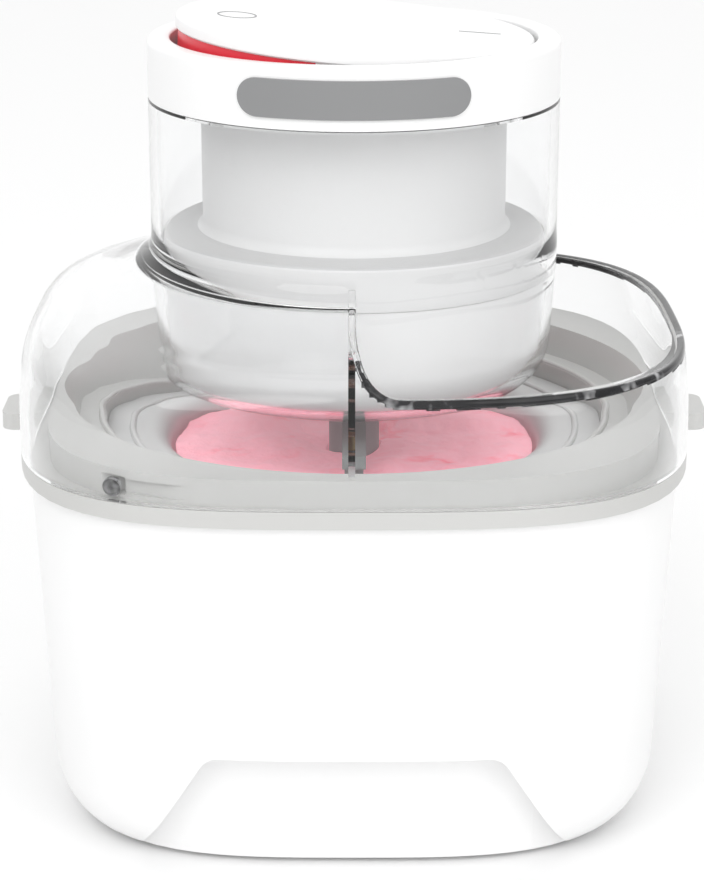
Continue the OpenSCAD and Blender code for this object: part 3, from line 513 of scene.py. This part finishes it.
# the open right-hand half, cut from the dome only
opening_bm = prism([(GUIDE_X + u, v) for u, v in rounded_corner(160.0)], -160, 160, "y")
bmesh.ops.rotate(opening_bm, verts=opening_bm.verts, cent=(0, 0, SPOUT_LOW * MM),
                 matrix=Matrix.Rotation(-SPOUT_FALL, 3, "X"))
opening = object_from(opening_bm, "opening", None)
core_bm, core_rings = loft_loop([[TOWER_R + 0.12, 100, 2.0], [TOWER_R + 0.12, 190, 2.0]], closed=False)
for core_ring in core_rings:
    core_bm.faces.new(core_ring)
opening = combine(opening, [object_from(core_bm, "core", None)], "DIFFERENCE")
combine(lid, [opening], "DIFFERENCE")

# rolled edge of the opening: down from the tower, round the open half and up again
LIP_HALF, LIP_THICK, LIP_OUT, LIP_TOP = 0.95, 1.35, 0.15, 138.4
turn = SPOUT_R + LIP_HALF
corner_x = GUIDE_X + SPOUT_R
inset = WALL / 2 - LIP_OUT


def lip_level(y):
    return SPOUT_LOW - y * math.tan(SPOUT_FALL) - LIP_HALF + 0.15


def edge_end(where):
    """The roll from the tower down to its level run, in front (-1) or at the back (1)."""
    corner_z = lip_level(where * 81.0) + turn
    path = [(corner_x - turn + 0.15, LIP_TOP + (corner_z - LIP_TOP) * k / 14) for k in range(14)]
    path += [(corner_x - (turn - 0.15) * math.cos(math.radians(a)),
              corner_z - turn * math.sin(math.radians(a))) for a in range(0, 91, 6)]
    return [(x, where * depth_at(x, z, inset), z) for x, z in path]


front_edge, back_edge = edge_end(-1), edge_end(1)
t0 = math.atan2(front_edge[-1][1], front_edge[-1][0])
t1 = math.atan2(back_edge[-1][1], back_edge[-1][0])
edge = list(front_edge)
for k in range(1, 180):
    t = t0 + (t1 - t0) * k / 180
    c, sn = math.cos(t), math.sin(t)
    y = 80 * sn
    for _try in range(3):
        z = lip_level(y)
        half, square = dome_at(z, inset)
        r = half * (abs(c) ** square + abs(sn) ** square) ** (-1 / square)
        y = r * sn
    edge.append((r * c, y, z))
edge += list(reversed(back_edge))
edge = [Vector(p) for p in edge]


def dome_normal(p):
    """Outward direction of the dome's wall at a point."""
    h1, n = dome_at(p.z - 0.5)
    h2, _n = dome_at(p.z + 0.5)
    gx = abs(p.x) ** (n - 1) * math.copysign(1, p.x)
    gy = abs(p.y) ** (n - 1) * math.copysign(1, p.y)
    flat = Vector((gx, gy, 0)).normalized()
    return (flat + Vector((0, 0, h1 - h2))).normalized()


lip = object_from(sweep(edge, [dome_normal(p) for p in edge], LIP_THICK, LIP_HALF, 24), "lip", None)
guide_pts = []
for k in range(21):
    z = GUIDE_LOW + (133.0 - GUIDE_LOW) * k / 20
    guide_pts.append((-depth_at(0, z, WALL / 2), z))
guide_pts.append((-CUP_R, 133.0))
for a in range(0, -85, -7):
    u = CUP_R - CUP_ROUND + (CUP_ROUND - WALL / 2) * math.cos(math.radians(a))
    z = CUP_FOOT + CUP_ROUND + (CUP_ROUND - WALL / 2) * math.sin(math.radians(a))
    if z >= GUIDE_LOW:
        guide_pts.append((-u, z))
guide_pts.append((-41.0, GUIDE_LOW))
guides = [object_from(prism([(u * side, z) for u, z in guide_pts],
                            GUIDE_X - GUIDE_THICK, GUIDE_X - 0.02, "x"), "guide", None) for side in (1, -1)]

# locking peg on the inside of the wall
PEG_X, PEG_Y, PEG_Z, PEG_R, PEG_LONG = -55.2, -72.85, 98.2, 2.1, 3.3
peg_bm = bmesh.new()
bmesh.ops.create_cone(peg_bm, cap_ends=True, segments=40, radius1=PEG_R * MM, radius2=PEG_R * MM,
                      depth=PEG_LONG * MM)
bmesh.ops.rotate(peg_bm, verts=peg_bm.verts, matrix=Matrix.Rotation(math.pi / 2, 3, "X"))
bmesh.ops.translate(peg_bm, verts=peg_bm.verts, vec=Vector((PEG_X, PEG_Y, PEG_Z)) * MM)
peg = object_from(peg_bm, "peg", None)
combine(lid, [lip] + guides + [peg], "UNION")
lid.data.polygons.foreach_set("use_smooth", [True] * len(lid.data.polygons))
lid.data.set_sharp_from_angle(angle=math.radians(38))
lid.name = "clear_lid"

# the roll and the peg take the material with painted dark shade and painted glints, everything else the clear
# one
for slot_number in range(len(lid.data.materials)):
    lid.data.materials[slot_number] = CLEAR
lid.data.materials.append(EDGE)
painted_dark_slot = len(lid.data.materials) - 1
roll_line = KDTree(len(edge))
for number, place in enumerate(edge):
    roll_line.insert(place, number)
roll_line.balance()
ROLL_REACH, PAINTED_DARK_TOP = 1.85, 125.0
for poly in lid.data.polygons:
    corners = [lid.data.vertices[v].co / MM for v in poly.vertices]
    on_roll = all(roll_line.find(c)[2] < ROLL_REACH for c in corners)
    on_peg = all(-74 < c.y < -71 and math.hypot(c.x - PEG_X, c.z - PEG_Z) < PEG_R + 0.2 for c in corners)
    if (on_roll and corners[0].z < PAINTED_DARK_TOP) or on_peg:
        poly.material_index = painted_dark_slot
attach(lid, "lid_body")
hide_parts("lid")

# ---- ice cream ----

ICE_TOP, ICE_IN, ICE_OUT, ICE_RINGS, ICE_SPOKES = 86.2, 7.2, 46.4, 56, 240


def ice_height(x, y):
    """Top of the ice cream: lumps, a slow swirl and a little dish shape."""
    r = math.hypot(x, y)
    lumps = (noise.noise(Vector((x * 0.05, y * 0.05, 3.1))) * 1.5
             + noise.noise(Vector((x * 0.16, y * 0.16, 8.2))) * 0.6
             + noise.noise(Vector((x * 0.5, y * 0.5, 1.7))) * 0.25)
    swirl = 0.5 * math.sin(math.atan2(y, x) * 3 + r * 0.22)
    return ICE_TOP + lumps + swirl - 0.004 * (r - 30) ** 2


def ice_ring(r, height):
    """One ring of points, with the height worked out from each place."""
    spokes = [2 * math.pi * k / ICE_SPOKES for k in range(ICE_SPOKES)]
    flat = [(r * math.cos(t), r * math.sin(t)) for t in spokes]
    return [bm.verts.new(Vector((x, y, height(x, y))) * MM) for x, y in flat]


bm = bmesh.new()
rings = [ice_ring(ICE_IN + (ICE_OUT - ICE_IN) * i / ICE_RINGS, ice_height) for i in range(ICE_RINGS + 1)]
for drop, r in ((3.0, ICE_OUT - 0.1), (8.0, ICE_OUT - 0.3), (8.0, ICE_IN)):
    rings.append(ice_ring(r, lambda x, y, z=ICE_TOP - drop: z))
for a, b2 in zip(rings, rings[1:] + rings[:1]):
    for i in range(ICE_SPOKES):
        j = (i + 1) % ICE_SPOKES
        bm.faces.new((a[i], a[j], b2[j], b2[i]))
ice = object_from(bm, "ice_cream", None, 60)
ice.data.materials.append(ICE)
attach(ice, "paddle_body")


# ---- stage ----

def plane(name, size, z, material):
    bm = bmesh.new()
    bmesh.ops.create_grid(bm, x_segments=1, y_segments=1, size=size)
    me = bpy.data.meshes.new(name)
    bm.to_mesh(me)
    o = bpy.data.objects.new(name, me)
    o.location.z = z
    scene.collection.objects.link(o)
    me.materials.append(material)
    return o


floor_mat, nt, b = new_material("pale_floor")
b.inputs["Base Color"].default_value = (0.9, 0.9, 0.9, 1)
b.inputs["Roughness"].default_value = 0.6
plane("floor", 6, 0, floor_mat)

world = bpy.data.worlds.new("studio")
scene.world = world
world.use_nodes = True
wt = world.node_tree
bg = wt.nodes["Background"]
bg.inputs["Color"].default_value = (1, 1, 1, 1)
way = wt.nodes.new("ShaderNodeTexCoord")
split = wt.nodes.new("ShaderNodeSeparateXYZ")
wt.links.new(way.outputs["Generated"], split.inputs["Vector"])
side = wt.nodes.new("ShaderNodeMath")
side.operation = "ABSOLUTE"
wt.links.new(split.outputs["X"], side.inputs[0])
dim = wt.nodes.new("ShaderNodeMapRange")
dim.interpolation_type = "SMOOTHSTEP"
for key, value in (("From Min", 0.55), ("From Max", 0.97), ("To Min", 1.12), ("To Max", 0.45)):
    dim.inputs[key].default_value = value
wt.links.new(side.outputs["Value"], dim.inputs["Value"])
wt.links.new(dim.outputs["Result"], bg.inputs["Strength"])


def area(name, place, target, size, power):
    d = bpy.data.lights.new(name, "AREA")
    d.shape, d.size, d.energy = "DISK", size, power
    o = bpy.data.objects.new(name, d)
    o.location = place
    o.rotation_mode = "QUATERNION"
    o.rotation_quaternion = (Vector(target) - Vector(place)).to_track_quat("-Z", "Y")
    scene.collection.objects.link(o)


area("key", (-0.45, -0.95, 1.1), (0, 0, 0.12), 0.9, 4)
area("fill", (0.7, -0.9, 0.8), (0, 0, 0.12), 0.9, 2.5)

cam = bpy.data.cameras.new("camera")
cam_o = bpy.data.objects.new("camera", cam)
scene.collection.objects.link(cam_o)
cam_o.location = (0, -0.6088, 0.2854)
cam_o.rotation_euler = (math.pi / 2 - 0.3175, 0, 0)
cam.sensor_width = 36
cam.lens = 101.05
cam.shift_x = -2 / 880
cam.clip_start, cam.clip_end = 0.01, 50
scene.camera = cam_o
scene.view_settings.view_transform = "Standard"
scene.view_settings.look = "None"
scene.cycles.transmission_bounces = 24
scene.cycles.max_bounces = 24
scene.cycles.transparent_max_bounces = 16
